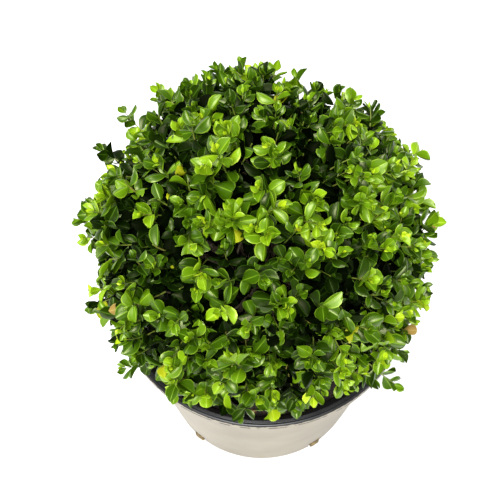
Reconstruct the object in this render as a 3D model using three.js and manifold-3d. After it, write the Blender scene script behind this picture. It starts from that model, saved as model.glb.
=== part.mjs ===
// Box topiary ball: a clipped box shrub, 30 cm across, in a round two-tone nursery pot.
// Millimetres, +Z up. The origin is the middle of the pot's flat underside, and -Y is the front.
import * as THREE from "three";
import { mergeVertices } from "three/addons/utils/BufferGeometryUtils.js";
import Module from "manifold-3d";

const wasm = await Module();
wasm.setup();

// ---------------------------------------------------------------- driving dimensions

const GAP = 0.4; // clearance left between pieces that meet
const SEGMENTS = 44; // facets round the pot, its rim and the potting mix

const pot = {
  height: 210,
  rimRadius: 140,
  footRadius: 106,
  footChamfer: 3,
  wall: 1.8,
  floor: 4,
  collarFoot: 191.5, // where the straight wall turns out into the flared collar
  collarFootRadius: 130.9,
  collarTop: 203, // the white wall ends here, under the black rim
  collarTopRadius: 137.9,
};

// The rim is a rolled bead, a ledge that slopes in from it, and a short skirt inside the wall.
const rim = { bead: 4.8, ledge: 9, ledgeDrop: 13, skirtFoot: 191, thickness: 1.6 };

const drain = { count: 5, width: 13, height: 18, depth: 12, firstAzimuth: -58 };
const mix = { level: 185, mound: 3, clods: 1.3, stemFlat: 24 };
const stem = { flareRadius: 17, neckRadius: 9.5, knuckleRadius: 12.5, knuckle: 229, top: 238, lean: 0.05 };

// The ball is a little wider than tall, and stands a little off the pot's axis.
const crown = {
  centre: new THREE.Vector3(-2, -4, 299),
  radius: 148,
  halfHeight: 142,
  tuck: { drop: 13, from: 88, to: 128 }, // the ball draws in towards the pot between these polar angles
  core: 0.45, // share of the radius inside which there are bare boughs only
  cleft: 0.9, // degrees by which each mass keeps clear of the line between it and the next
  shoulder: 6, // how far a mass's outer face drops at its edges
  facets: 8, // facets across a mass, each way
};

// One mass sits on top, and two rings of masses lie below it. Their limits are polar angles, in
// degrees from straight up. Each mass has its own bough, which leaves the stem at boughFoot.
const top = { name: "top", to: 31, boughFoot: 231, boughRadius: 5.4 };
const tiers = [
  { name: "upper", count: 5, turn: 18, from: top.to, to: 70, boughFoot: 229, boughRadius: 4.8, aim: 0.5 },
  { name: "lower", count: 7, turn: -4, from: 70, to: 132, boughFoot: 208, boughRadius: 4.2, aim: 0.42 },
];
const bough = { taper: 0.6, spread: 0.6, stagger: 9, rings: 5, sides: 7 };

// Broad lumps (+) and hollows (-) of the clipped surface: direction, height in mm, width in degrees.
const lumps = [
  { azimuth: 144, elevation: 18, height: -3, width: 24 },
  { azimuth: 75, elevation: 24, height: -8, width: 20 },
  { azimuth: 35, elevation: 22, height: 6, width: 20 },
  { azimuth: 5, elevation: 0, height: 4, width: 24 },
  { azimuth: 200, elevation: -8, height: 5, width: 26 },
  { azimuth: 115, elevation: 38, height: 5, width: 18 },
  { azimuth: 300, elevation: 40, height: 4, width: 24 },
];

// ---------------------------------------------------------------- helpers

const rad = THREE.MathUtils.degToRad;
const between = THREE.MathUtils.lerp;

function material(color, roughness) {
  return new THREE.MeshStandardMaterial({ color, roughness, metalness: 0 });
}

function piece(name, geometry, look) {
  const mesh = new THREE.Mesh(geometry, look);
  mesh.name = name;
  return mesh;
}

// A closed geometry as a manifold-3d solid, and back.
function solidOf(geometry) {
  const bare = geometry.index ? geometry.toNonIndexed() : geometry.clone();
  bare.deleteAttribute("normal");
  bare.deleteAttribute("uv");
  const merged = mergeVertices(bare, 1e-3);
  return new wasm.Manifold(
    new wasm.Mesh({
      numProp: 3,
      vertProperties: merged.attributes.position.array,
      triVerts: new Uint32Array(merged.index.array),
    }),
  );
}

function geometryOf(solid) {
  const { vertProperties, triVerts } = solid.getMesh();
  return new THREE.BufferGeometry()
    .setAttribute("position", new THREE.BufferAttribute(vertProperties, 3))
    .setIndex(new THREE.BufferAttribute(triVerts, 1));
}

// What is left of a solid after the cuts, without the chips that they break off.
function cut(solid, cutters) {
  const left = cutters.reduce((rest, cutter) => rest.subtract(cutter), solid);
  return left.decompose().sort((a, b) => b.volume() - a.volume())[0];
}

// Turns an outline of [radius, height] pairs about Z. It runs up the outside and down the inside.
function turned(outline, segments = SEGMENTS) {
  const points = outline.map(([r, z]) => new THREE.Vector2(r, z));
  return new THREE.LatheGeometry(points, segments).rotateX(Math.PI / 2);
}

// Moves each vertex of a geometry with a function that changes the vector it is given.
function reshape(geometry, move) {
  const at = geometry.attributes.position;
  const v = new THREE.Vector3();
  for (let i = 0; i < at.count; i++) {
    v.fromBufferAttribute(at, i);
    move(v);
    at.setXYZ(i, v.x, v.y, v.z);
  }
  return geometry;
}

// A smooth, repeatable waver between about -1 and 1.
function waver(x, y, z) {
  const across = Math.sin(x * 1.7 + y * 0.6 + 1.1);
  const along = Math.sin(y * 1.9 - z * 0.7 + 2.3);
  const up = Math.sin(z * 1.6 + x * 0.8 + 4.2);
  return (across + along + up) / 2;
}

// ---------------------------------------------------------------- pot

// Radius of the straight wall's outer face at a height.
function wallRadius(z) {
  const share = (z - pot.footChamfer) / (pot.collarFoot - pot.footChamfer);
  return between(pot.footRadius, pot.collarFootRadius, share);
}

function drainHole(index) {
  const hole = new THREE.BoxGeometry(2 * drain.depth, drain.width, 2 * drain.height);
  hole.translate(pot.footRadius, 0, 0);
  hole.rotateZ(rad(drain.firstAzimuth + (360 / drain.count) * index));
  return solidOf(hole);
}

// The tapering wall and floor, with drain holes cut through the corner between them.
function makePot(look) {
  const outline = [
    [0, 0],
    [pot.footRadius - pot.footChamfer, 0],
    [pot.footRadius, pot.footChamfer],
    [pot.collarFootRadius, pot.collarFoot],
    [pot.collarTopRadius, pot.collarTop],
    [pot.collarTopRadius - pot.wall, pot.collarTop],
    [pot.collarFootRadius - pot.wall, pot.collarFoot + 1],
    [wallRadius(pot.floor) - pot.wall, pot.floor],
    [0, pot.floor],
  ];
  const holes = Array.from({ length: drain.count }, (_, index) => drainHole(index));
  return piece("pot", geometryOf(cut(solidOf(turned(outline)), holes)), look);
}

function makeRim(look) {
  const crest = pot.height;
  const beadFoot = pot.collarTop + GAP;
  const beadInner = pot.rimRadius - rim.bead;
  const ledgeInner = beadInner - rim.ledge;
  const ledgeTop = crest - rim.ledgeDrop;
  const outline = [
    [beadInner + 0.8, beadFoot],
    [pot.rimRadius - 0.6, beadFoot + 0.7],
    [pot.rimRadius, crest - 3.6],
    [pot.rimRadius - 1, crest - 0.8],
    [pot.rimRadius - 2.8, crest],
    [beadInner, crest - 0.8],
    [ledgeInner, ledgeTop],
    [ledgeInner - 0.6, rim.skirtFoot],
    [ledgeInner - 0.6 + rim.thickness, rim.skirtFoot],
    [ledgeInner + rim.thickness, ledgeTop - 1],
    [beadInner + 0.8, beadFoot],
  ];
  return piece("pot_rim", turned(outline), look);
}

// ---------------------------------------------------------------- potting mix and stem

// The mix fills the pot to just under its rim, mounded and crumbly, with a flat seat for the stem.
function makePottingMix(look) {
  const side = (z) => wallRadius(z) - pot.wall - GAP;
  const foot = pot.floor + GAP;
  const edge = side(mix.level);
  const ringRadii = [116, 96, 76, 50, mix.stemFlat];
  const outline = [
    [0, foot],
    [side(foot), foot],
    [edge, mix.level],
    ...ringRadii.map((r) => [r, mix.level]),
    [0, mix.level],
  ];
  const body = reshape(turned(outline), (v) => {
    const r = Math.hypot(v.x, v.y);
    if (v.z < mix.level - 1 || r > edge - 1) return;
    v.z += mix.mound * Math.min(1, (edge - r) / 60);
    if (r > mix.stemFlat + 1) v.z += mix.clods * waver(v.x / 7, v.y / 7, 0);
  });
  return piece("potting_mix", body, look);
}

const stemFoot = mix.level + mix.mound + GAP;

// Middle of the leaning stem at a height.
function stemAxis(z) {
  return new THREE.Vector3(stem.lean * (z - stemFoot), -0.4 * stem.lean * (z - stemFoot), z);
}

// The stem: flat cut, root flare, neck, and the knuckle that the boughs leave from.
// With clearance, it is the cutter that keeps the boughs clear of the stem.
function stemGeometry(clearance = 0) {
  const outline = [
    [0, stemFoot],
    [stem.flareRadius + clearance, stemFoot],
    [stem.flareRadius * 0.76 + clearance, stemFoot + 4],
    [stem.neckRadius + 1 + clearance, stemFoot + 12],
    [stem.neckRadius + clearance, stemFoot + 26],
    [stem.knuckleRadius * 0.9 + clearance, stem.knuckle - 7],
    [stem.knuckleRadius + clearance, stem.knuckle],
    [stem.knuckleRadius * 0.72 + clearance, stem.top - 2 + clearance],
    [0, stem.top + clearance],
  ];
  return reshape(turned(outline, 16), (v) => {
    const angle = Math.atan2(v.y, v.x);
    const low = Math.max(0, 1 - (v.z - stemFoot) / 14);
    const swell = 1 + 0.16 * low * Math.sin(5 * angle) + 0.04 * Math.sin(3 * angle + v.z / 9);
    const axis = stemAxis(v.z);
    v.set(v.x * swell + axis.x, v.y * swell + axis.y, v.z);
  });
}

// ---------------------------------------------------------------- foliage

function direction(polar, azimuth) {
  const flat = Math.sin(polar);
  return new THREE.Vector3(flat * Math.cos(azimuth), flat * Math.sin(azimuth), Math.cos(polar));
}

// How far the clipped surface stands out from the plain ball in a direction, in mm.
function unevenness(d) {
  const { drop, from, to } = crown.tuck;
  const tucked = drop * THREE.MathUtils.smoothstep(Math.acos(d.z), rad(from), rad(to));
  const broad = 1.6 * waver(d.x * 4.2, d.y * 4.2, d.z * 4.2);
  const fine = 1.5 * waver(d.y * 10, d.z * 10, d.x * 10);
  return lumps.reduce((out, lump) => {
    const away = d.angleTo(direction(rad(90 - lump.elevation), rad(lump.azimuth)));
    return out + lump.height * Math.exp(-((away / rad(lump.width)) ** 2));
  }, broad + fine - tucked);
}

// A point of the crown: share 0 is the bare core's face, and share 1 the outer surface less a drop.
function crownPoint(polar, azimuth, share, drop = 0, clearance = 0) {
  const d = direction(polar, azimuth);
  const plain = d.clone().multiply(new THREE.Vector3(crown.radius, crown.radius, crown.halfHeight));
  const inner = plain.clone().multiplyScalar(crown.core - clearance / crown.radius);
  const outer = plain.addScaledVector(d, unevenness(d) - drop);
  return inner.lerp(outer, share).add(crown.centre);
}

// The wavering line between two tiers, as a polar angle.
function tierLine(polar, azimuth) {
  return rad(polar + 2.6 * Math.sin(3 * azimuth + 1) + 1.4 * Math.sin(5 * azimuth));
}

// The wavering line between a tier's masses, as an azimuth. The last line is the first one again,
// a full turn on.
function sideLine(tier, index, polar) {
  const waverPhase = 2.1 * (index % tier.count);
  return rad(tier.turn + (360 / tier.count) * index + 3 * Math.sin(3.2 * polar + waverPhase));
}

// A block whose vertices are laid on the crown: u and v lie across a mass, from -1 to 1.
function crownBlock(anglesAt, clearance) {
  const block = new THREE.BoxGeometry(2, 2, 2, crown.facets, crown.facets, 2);
  return reshape(block, (p) => {
    const { polar, azimuth } = anglesAt(p.x, p.y);
    const edge = Math.max(Math.abs(p.x), Math.abs(p.y)) ** 4;
    p.copy(crownPoint(polar, azimuth, (p.z + 1) / 2, crown.shoulder * edge, clearance));
  });
}

function topMass(clearance = 0) {
  return crownBlock((u, v) => {
    const azimuth = Math.atan2(v, u);
    const reach = tierLine(top.to, azimuth) - rad(crown.cleft);
    return { polar: reach * Math.max(Math.abs(u), Math.abs(v)), azimuth };
  }, clearance);
}

function ringMass(tier, index, clearance = 0) {
  const cleft = rad(crown.cleft);
  return crownBlock((u, v) => {
    const rise = (v + 1) / 2;
    const level = rad(between(tier.to, tier.from, rise));
    const left = sideLine(tier, index, level) + cleft;
    const right = sideLine(tier, index + 1, level) - cleft;
    const azimuth = between(left, right, (u + 1) / 2);
    const low = tierLine(tier.to, azimuth) - cleft;
    const high = tierLine(tier.from, azimuth) + cleft;
    return { polar: between(low, high, rise), azimuth };
  }, clearance);
}

// ---------------------------------------------------------------- boughs

// A tapering limb: a closed cylinder whose rings are laid along a curve.
function limb(curve, footRadius, clearance = 0) {
  const { rings, sides } = bough;
  const frames = curve.computeFrenetFrames(rings, false);
  const tube = new THREE.CylinderGeometry(1, 1, rings, sides, rings);
  return reshape(tube, (v) => {
    const ring = Math.round(v.y + rings / 2);
    const radius = footRadius * between(1, bough.taper, ring / rings) + clearance;
    const { x, z } = v;
    v.copy(curve.getPointAt(ring / rings));
    v.addScaledVector(frames.normals[ring], z * radius);
    v.addScaledVector(frames.binormals[ring], x * radius);
  });
}

// The way from the stem to a little inside the middle of a mass's inner face.
function boughCurve(foot, polar, azimuth) {
  const start = stemAxis(foot);
  const end = crownPoint(polar, azimuth, 0.06);
  const bend = start.clone().lerp(end, 0.5);
  bend.x = between(start.x, end.x, bough.spread);
  bend.y = between(start.y, end.y, bough.spread);
  return new THREE.QuadraticBezierCurve3(start, bend, end);
}

// ---------------------------------------------------------------- the plant

// Each mass's name, its shape with any clearance, and the way and size of its bough.
function massPlan() {
  const plans = [
    {
      name: top.name,
      shape: topMass,
      curve: boughCurve(top.boughFoot, rad(4), rad(60)),
      radius: top.boughRadius,
    },
  ];
  for (const tier of tiers) {
    for (let i = 0; i < tier.count; i++) {
      const foot = tier.boughFoot + (tier.to > 90 ? bough.stagger * (i % 2) : 0);
      const polar = rad(between(tier.from, tier.to, tier.aim));
      const azimuth = rad(tier.turn + (360 / tier.count) * (i + 0.5));
      plans.push({
        name: `${tier.name}_${i + 1}`,
        shape: (clearance) => ringMass(tier, i, clearance),
        curve: boughCurve(foot, polar, azimuth),
        radius: tier.boughRadius,
      });
    }
  }
  return plans;
}

// The stem, the boughs, each cut to end at its mass and to clear the stem and the boughs before it,
// and the masses.
function makePlant(bark, leaf) {
  const limbs = [];
  const masses = [];
  const cutters = [solidOf(stemGeometry(GAP))];
  for (const { name, shape, curve, radius } of massPlan()) {
    const made = cut(solidOf(limb(curve, radius)), [...cutters, solidOf(shape(2 * GAP))]);
    cutters.push(solidOf(limb(curve, radius, GAP)));
    limbs.push(piece(`bough_${name}`, geometryOf(made), bark));
    masses.push(piece(`foliage_${name}`, shape(), leaf));
  }
  return [piece("stem", stemGeometry(), bark), ...limbs, ...masses];
}

const plant = new THREE.Group();
plant.add(makePot(material(0xdcd8ce, 0.55)));
plant.add(makeRim(material(0x1c1c1e, 0.5)));
plant.add(makePottingMix(material(0x1f1712, 0.95)));
plant.add(...makePlant(material(0x7a6a4c, 0.85), material(0x4b7a17, 0.4)));

export default plant;
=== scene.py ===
"""Box topiary ball in its two-tone nursery pot: the visual model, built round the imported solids."""
import math

import bmesh
import bpy
import numpy as np
from mathutils import Matrix, Vector, noise
from mathutils.bvhtree import BVHTree


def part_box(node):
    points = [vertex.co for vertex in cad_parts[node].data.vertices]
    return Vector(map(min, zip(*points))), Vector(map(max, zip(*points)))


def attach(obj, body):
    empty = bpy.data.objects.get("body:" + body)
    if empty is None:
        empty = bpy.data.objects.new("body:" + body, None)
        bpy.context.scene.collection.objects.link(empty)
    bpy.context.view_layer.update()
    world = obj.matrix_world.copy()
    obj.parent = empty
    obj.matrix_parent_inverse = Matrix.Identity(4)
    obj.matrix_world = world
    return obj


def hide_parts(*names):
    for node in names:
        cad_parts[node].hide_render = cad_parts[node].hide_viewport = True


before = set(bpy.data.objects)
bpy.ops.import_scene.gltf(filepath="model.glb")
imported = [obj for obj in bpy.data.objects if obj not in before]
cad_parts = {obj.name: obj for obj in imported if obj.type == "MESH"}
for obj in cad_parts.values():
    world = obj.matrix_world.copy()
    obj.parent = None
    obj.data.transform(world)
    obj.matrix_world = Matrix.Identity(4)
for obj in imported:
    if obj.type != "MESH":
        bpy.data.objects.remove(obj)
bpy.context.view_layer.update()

MM = 0.001
UP = np.array([0.0, 0.0, 1.0])

# ------------------------------------------------------------------ materials

# The pot's white skin: how far below the top of the rim it ends, how far that edge wanders, and
# how far under it a broken black line runs.
SKIN_DROP, SKIN_WANDER, LINE_DROP = 1.5 * MM, 4.5 * MM, 3.4 * MM
LINE_HALF, LINE_FADE = 1.3 * MM, 0.5 * MM  # half the line's width, and its soft border
POLYPROPYLENE_IOR = 1.49
BARK_DRAWN_OUT = 0.35  # bark's pattern is nearly three times as long as it is broad
SMOOTH = {"interpolation_type": "SMOOTHSTEP"}


def linear(hex_colour):
    """An sRGB colour such as "#4b7a17" as linear red, green, blue and 1."""
    parts = [int(hex_colour[i : i + 2], 16) / 255 for i in (1, 3, 5)]
    return [c / 12.92 if c <= 0.04045 else ((c + 0.055) / 1.055) ** 2.4 for c in parts] + [1.0]


def set_inputs(tree, node, inputs):
    """Gives each socket, by name or number, a value, a hex colour or what it is linked to: another
    node's output, or a node for its first output."""
    for key, value in inputs.items():
        if isinstance(value, bpy.types.Node):
            value = value.outputs[0]
        if isinstance(value, bpy.types.NodeSocket):
            tree.links.new(value, node.inputs[key])
        else:
            node.inputs[key].default_value = linear(value) if isinstance(value, str) else value


def add_node(tree, kind, inputs=None, stops=(), **settings):
    """Adds a node with its settings and inputs, and a Color Ramp's (position, hex colour) stops."""
    node = tree.nodes.new(kind)
    for key, value in settings.items():
        setattr(node, key, value)
    set_inputs(tree, node, inputs or {})
    if stops:
        elements = node.color_ramp.elements
        while len(elements) < len(stops):
            elements.new(0.5)
        for element, (position, colour) in zip(elements, stops):
            element.position = position
            element.color = linear(colour)
    return node


def new_material(name, inputs):
    """A material with its Principled shader's constant sockets set."""
    made = bpy.data.materials.new(name)
    made.use_nodes = True
    tree = made.node_tree
    shader = tree.nodes["Principled BSDF"]
    set_inputs(tree, shader, inputs)
    return made, tree, shader


def per_metre(size_mm):
    """The scale that makes a texture's cells this many millimetres across."""
    return 1 / (size_mm * MM)


def moulded_white_plastic(edge_height, rim_radius):
    """Polypropylene, moulded white over black: satin, faintly pebbled, with dust and soil splashes.
    The white skin ends in a ragged line at edge_height, and in a line below it the black shows
    through in dashes."""
    made, tree, shader = new_material(
        "moulded_white_polypropylene", {"IOR": POLYPROPYLENE_IOR, "Specular IOR Level": 0.28}
    )
    place = add_node(tree, "ShaderNodeTexCoord").outputs["Object"]
    xyz = add_node(tree, "ShaderNodeSeparateXYZ", {"Vector": place})
    height = xyz.outputs["Z"]

    # Broad, faint stains, which also change the sheen.
    stains = add_node(
        tree, "ShaderNodeTexNoise", {"Vector": place, "Scale": per_metre(55), "Detail": 4}
    )
    stain_colours = [(0.3, "#8b8474"), (0.5, "#968f80"), (0.7, "#a0998a")]
    colour = add_node(tree, "ShaderNodeValToRGB", {"Fac": stains}, stops=stain_colours)
    rough = add_node(tree, "ShaderNodeMapRange", {"Value": stains, "To Min": 0.42, "To Max": 0.6})

    # Smears of soil on the lowest 30 mm.
    foot = add_node(
        tree,
        "ShaderNodeMapRange",
        {"Value": height, "From Min": 0.0, "From Max": 30 * MM, "To Min": 1.0, "To Max": 0.0},
        **SMOOTH,
    )
    splash = add_node(
        tree,
        "ShaderNodeTexNoise",
        {"Vector": place, "Scale": per_metre(16), "Detail": 5, "Roughness": 0.65},
    )
    smears = add_node(
        tree, "ShaderNodeMapRange", {"Value": splash, "From Min": 0.5, "From Max": 0.72}, **SMOOTH
    )
    dirt = add_node(tree, "ShaderNodeMath", {0: foot, 1: smears}, operation="MULTIPLY")
    colour = add_node(tree, "ShaderNodeMix", {0: dirt, 6: colour, 7: "#8a7857"}, data_type="RGBA")

    # Specks of soil: 1 mm across, about one on each square centimetre.
    cells = add_node(tree, "ShaderNodeTexVoronoi", {"Vector": place, "Scale": per_metre(4.5)})
    dot = add_node(
        tree,
        "ShaderNodeMapRange",
        {"Value": cells, "From Min": 0.07, "From Max": 0.13, "To Min": 1.0, "To Max": 0.0},
        **SMOOTH,
    )
    chosen = add_node(tree, "ShaderNodeSeparateColor", {"Color": cells.outputs["Color"]})
    few = add_node(
        tree,
        "ShaderNodeMapRange",
        {"Value": chosen.outputs["Red"], "From Min": 0.78, "From Max": 0.8, "To Max": 0.65},
        **SMOOTH,
    )
    specks = add_node(tree, "ShaderNodeMath", {0: dot, 1: few}, operation="MULTIPLY")
    colour = add_node(
        tree, "ShaderNodeMix", {0: specks, 6: colour.outputs[2], 7: "#77705f"}, data_type="RGBA"
    )

    # The ragged upper edge, on a strip that is unrolled from the rim.
    turn = add_node(
        tree, "ShaderNodeMath", {0: xyz.outputs["Y"], 1: xyz.outputs["X"]}, operation="ARCTAN2"
    )
    along = add_node(tree, "ShaderNodeMath", {0: turn, 1: rim_radius}, operation="MULTIPLY")
    strip = add_node(tree, "ShaderNodeCombineXYZ", {"X": along, "Y": height})
    ragged = add_node(
        tree,
        "ShaderNodeTexNoise",
        {"Vector": strip, "Scale": per_metre(5), "Detail": 4, "Roughness": 0.7},
    )
    lift = add_node(
        tree,
        "ShaderNodeMapRange",
        {"Value": ragged, "To Min": -SKIN_WANDER / 2, "To Max": SKIN_WANDER / 2},
    )
    wandering = add_node(tree, "ShaderNodeMath", {0: height, 1: lift}, operation="ADD")
    edge = add_node(
        tree,
        "ShaderNodeMapRange",
        {"Value": wandering, "From Min": edge_height - 0.2 * MM, "From Max": edge_height + 0.1 * MM},
        **SMOOTH,
    )

    # The thin broken black line below it.
    above = add_node(
        tree, "ShaderNodeMath", {0: height, 1: edge_height - LINE_DROP}, operation="SUBTRACT"
    )
    off_line = add_node(tree, "ShaderNodeMath", {0: above}, operation="ABSOLUTE")
    line = {"From Min": LINE_HALF, "From Max": LINE_HALF + LINE_FADE, "To Min": 1.0, "To Max": 0.0}
    on_line = add_node(tree, "ShaderNodeMapRange", {"Value": off_line, **line}, **SMOOTH)
    breaks = add_node(
        tree,
        "ShaderNodeTexNoise",
        {"Vector": strip, "Scale": per_metre(9), "Detail": 3, "Roughness": 0.6},
    )
    dashes = add_node(
        tree, "ShaderNodeMapRange", {"Value": breaks, "From Min": 0.46, "From Max": 0.49}, **SMOOTH
    )
    broken = add_node(tree, "ShaderNodeMath", {0: on_line, 1: dashes}, operation="MULTIPLY")
    bare = add_node(tree, "ShaderNodeMath", {0: edge, 1: broken}, operation="MAXIMUM")
    colour = add_node(
        tree, "ShaderNodeMix", {0: bare, 6: colour.outputs[2], 7: "#1d1d1f"}, data_type="RGBA"
    )

    # The mould's fine pebbling.
    grain = add_node(tree, "ShaderNodeTexNoise", {"Vector": place, "Scale": per_metre(1.1)})
    bump = add_node(tree, "ShaderNodeBump", {"Height": grain, "Distance": 0.05 * MM})
    set_inputs(tree, shader, {"Base Color": colour.outputs[2], "Roughness": rough, "Normal": bump})
    return made


def moulded_black_plastic():
    """Polypropylene, moulded black: a satin sheen, scuffed grey in places and dusted with dry soil."""
    made, tree, shader = new_material("moulded_black_polypropylene", {"IOR": POLYPROPYLENE_IOR})
    place = add_node(tree, "ShaderNodeTexCoord").outputs["Object"]
    scuffs = add_node(
        tree,
        "ShaderNodeTexNoise",
        {"Vector": place, "Scale": per_metre(9), "Detail": 6, "Roughness": 0.7},
    )
    scuffed = [(0.35, "#161618"), (0.6, "#222224"), (0.75, "#3a3a3b")]
    colour = add_node(tree, "ShaderNodeValToRGB", {"Fac": scuffs}, stops=scuffed)
    rough = add_node(tree, "ShaderNodeMapRange", {"Value": scuffs, "To Min": 0.26, "To Max": 0.5})
    grains = add_node(
        tree,
        "ShaderNodeTexNoise",
        {"Vector": place, "Scale": per_metre(1.6), "Detail": 4, "Roughness": 0.7},
    )
    dust = add_node(
        tree,
        "ShaderNodeMapRange",
        {"Value": grains, "From Min": 0.64, "From Max": 0.75, "To Max": 0.45},
        **SMOOTH,
    )
    colour = add_node(tree, "ShaderNodeMix", {0: dust, 6: colour, 7: "#57493a"}, data_type="RGBA")
    pebbling = add_node(tree, "ShaderNodeTexNoise", {"Vector": place, "Scale": per_metre(0.9)})
    bump = add_node(tree, "ShaderNodeBump", {"Height": pebbling, "Distance": 0.03 * MM})
    set_inputs(tree, shader, {"Base Color": colour.outputs[2], "Roughness": rough, "Normal": bump})
    return made


def damp_potting_mix():
    """Peat, composted bark and grit, damp: nearly black, rough, with paler fibres and crumbs."""
    made, tree, shader = new_material("damp_potting_mix", {"Roughness": 0.85})
    place = add_node(tree, "ShaderNodeTexCoord").outputs["Object"]
    crumbs = add_node(
        tree,
        "ShaderNodeTexNoise",
        {"Vector": place, "Scale": per_metre(3.5), "Detail": 8, "Roughness": 0.7},
    )
    peat = [(0.3, "#0b0806"), (0.5, "#1c140e"), (0.62, "#33251a"), (0.78, "#5b4630")]
    colour = add_node(tree, "ShaderNodeValToRGB", {"Fac": crumbs}, stops=peat)
    grains = add_node(tree, "ShaderNodeTexNoise", {"Vector": place, "Scale": per_metre(1.2)})
    grit = add_node(
        tree, "ShaderNodeMapRange", {"Value": grains, "From Min": 0.7, "From Max": 0.74}, **SMOOTH
    )
    colour = add_node(tree, "ShaderNodeMix", {0: grit, 6: colour, 7: "#8b7a62"}, data_type="RGBA")
    bump = add_node(tree, "ShaderNodeBump", {"Height": crumbs, "Distance": 0.8 * MM})
    set_inputs(tree, shader, {"Base Color": colour.outputs[2], "Normal": bump})
    return made


def flake_material(name, dark, light, size_mm):
    """A dry chip, torn or crumbled: matt, and mottled from dark to light."""
    made, tree, shader = new_material(name, {"Roughness": 0.8})
    place = add_node(tree, "ShaderNodeTexCoord").outputs["Object"]
    grain = add_node(
        tree,
        "ShaderNodeTexNoise",
        {"Vector": place, "Scale": per_metre(size_mm), "Detail": 5, "Roughness": 0.65},
    )
    colour = add_node(tree, "ShaderNodeValToRGB", {"Fac": grain}, stops=[(0.35, dark), (0.7, light)])
    bump = add_node(tree, "ShaderNodeBump", {"Height": grain, "Distance": 0.25 * MM})
    set_inputs(tree, shader, {"Base Color": colour, "Normal": bump})
    return made


def box_bark(name, hollow, ridge, plate_mm):
    """Old box bark: corky and pale, finely cracked into small plates along the limb."""
    made, tree, shader = new_material(name, {"Roughness": 0.86})
    place = add_node(tree, "ShaderNodeTexCoord").outputs["Object"]
    drawn = add_node(tree, "ShaderNodeMapping", {"Vector": place, "Scale": (1.0, 1.0, BARK_DRAWN_OUT)})
    plates = add_node(
        tree,
        "ShaderNodeTexNoise",
        {"Vector": drawn, "Scale": per_metre(plate_mm), "Detail": 6, "Roughness": 0.65},
    )
    cracks = add_node(
        tree,
        "ShaderNodeTexVoronoi",
        {"Vector": drawn, "Scale": per_metre(plate_mm)},
        feature="DISTANCE_TO_EDGE",
    )
    off_crack = add_node(
        tree,
        "ShaderNodeMapRange",
        {"Value": cracks.outputs["Distance"], "From Min": 0.0, "From Max": 0.16},
        **SMOOTH,
    )
    colour = add_node(tree, "ShaderNodeValToRGB", {"Fac": plates}, stops=[(0.3, hollow), (0.7, ridge)])
    colour = add_node(tree, "ShaderNodeMix", {0: off_crack, 6: hollow, 7: colour}, data_type="RGBA")
    relief = add_node(tree, "ShaderNodeMath", {0: off_crack, 1: plates}, operation="MULTIPLY")
    bump = add_node(tree, "ShaderNodeBump", {"Height": relief, "Distance": 0.6 * MM})
    set_inputs(tree, shader, {"Base Color": colour.outputs[2], "Normal": bump})
    return made


def green_stem():
    """Young box wood: smooth, yellow-green, browner where it ripens."""
    made, tree, shader = new_material("young_green_wood", {"Roughness": 0.5})
    place = add_node(tree, "ShaderNodeTexCoord").outputs["Object"]
    tone = add_node(tree, "ShaderNodeTexNoise", {"Vector": place, "Scale": per_metre(14), "Detail": 3})
    ripening = [(0.35, "#4c601a"), (0.55, "#6f7d29"), (0.7, "#83763a")]
    colour = add_node(tree, "ShaderNodeValToRGB", {"Fac": tone}, stops=ripening)
    set_inputs(tree, shader, {"Base Color": colour})
    return made


# Box leaves from the shoot tip inwards, by how old they are, and in the crown's painted shade:
# (name, blade, midrib and margin, roughness, gloss). The blade is waxy above, so it takes a soft
# bright highlight; leaves
# inside the crown are duller. The old blade is darker than an old leaf's own green, and the row after
# it is near black:
# both are painted shade of the crown's inside. The midrib is paler in itself; the margin's paleness is
# a painted highlight.
LEAF_AGES_AND_SHADE = [
    ("lime", "#9fba16", "#b9cd34", 0.40, 0.62),
    ("fresh", "#789c0c", "#9cb82e", 0.38, 0.64),
    ("young", "#577b06", "#83a224", 0.36, 0.66),
    ("grown", "#365602", "#66871b", 0.35, 0.60),
    ("mature", "#1e3501", "#476816", 0.35, 0.46),
    # The old row partly, and the next row wholly, are painted shade: near-black colour where the
    # crown's inside lies in shadow.
    ("old", "#0b1901", "#1c3307", 0.42, 0.12),
    ("painted_shade", "#030801", "#060d02", 0.55, 0.03),
    ("yellowing", "#9aa214", "#abb035", 0.48, 0.35),
    ("dry", "#8a7238", "#9f8850", 0.65, 0.20),
]
WAX_TINT = "#f0f5ba"  # the colour of the sheen on the waxy blades
AGE_OR_SHADE = {name: place for place, (name, *_) in enumerate(LEAF_AGES_AND_SHADE)}


def leaf_materials():
    """Two plain colours for each row: the blade's, and the paler one of its midrib and margin. The
    midrib is paler in itself; on the margin the paleness is a painted highlight, light caught on the
    edge.
    """
    made = []
    for name, blade, rib_and_painted_rim, roughness, gloss in LEAF_AGES_AND_SHADE:
        wax = {"Roughness": roughness, "Specular IOR Level": gloss, "Specular Tint": WAX_TINT}
        for part, colour in (("blade", blade), ("rib_and_painted_rim", rib_and_painted_rim)):
            leaf, _, _ = new_material(f"box_leaf_{name}_{part}", {"Base Color": colour, **wax})
            made.append(leaf)
    return made


# ------------------------------------------------------------------ making pieces


def place_piece(obj, slot_name, *nodes):
    """Puts a finished piece on the part's one body and hides the nodes it stands for; slot_name is not
    used.
    """
    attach(obj, "root")
    if nodes:
        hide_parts(*nodes)
    return obj


def new_object(name, mesh, *materials):
    """An object in the scene, with its mesh and the mesh's materials."""
    obj = bpy.data.objects.new(name, mesh)
    bpy.context.scene.collection.objects.link(obj)
    for material in materials:
        mesh.materials.append(material)
    return obj


def from_bmesh(name, bm, *materials, smooth=True):
    """An object from a bmesh, which is used up."""
    mesh = bpy.data.meshes.new(name)
    bm.to_mesh(mesh)
    bm.free()
    mesh.polygons.foreach_set("use_smooth", [smooth] * len(mesh.polygons))
    return new_object(name, mesh, *materials)


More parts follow.
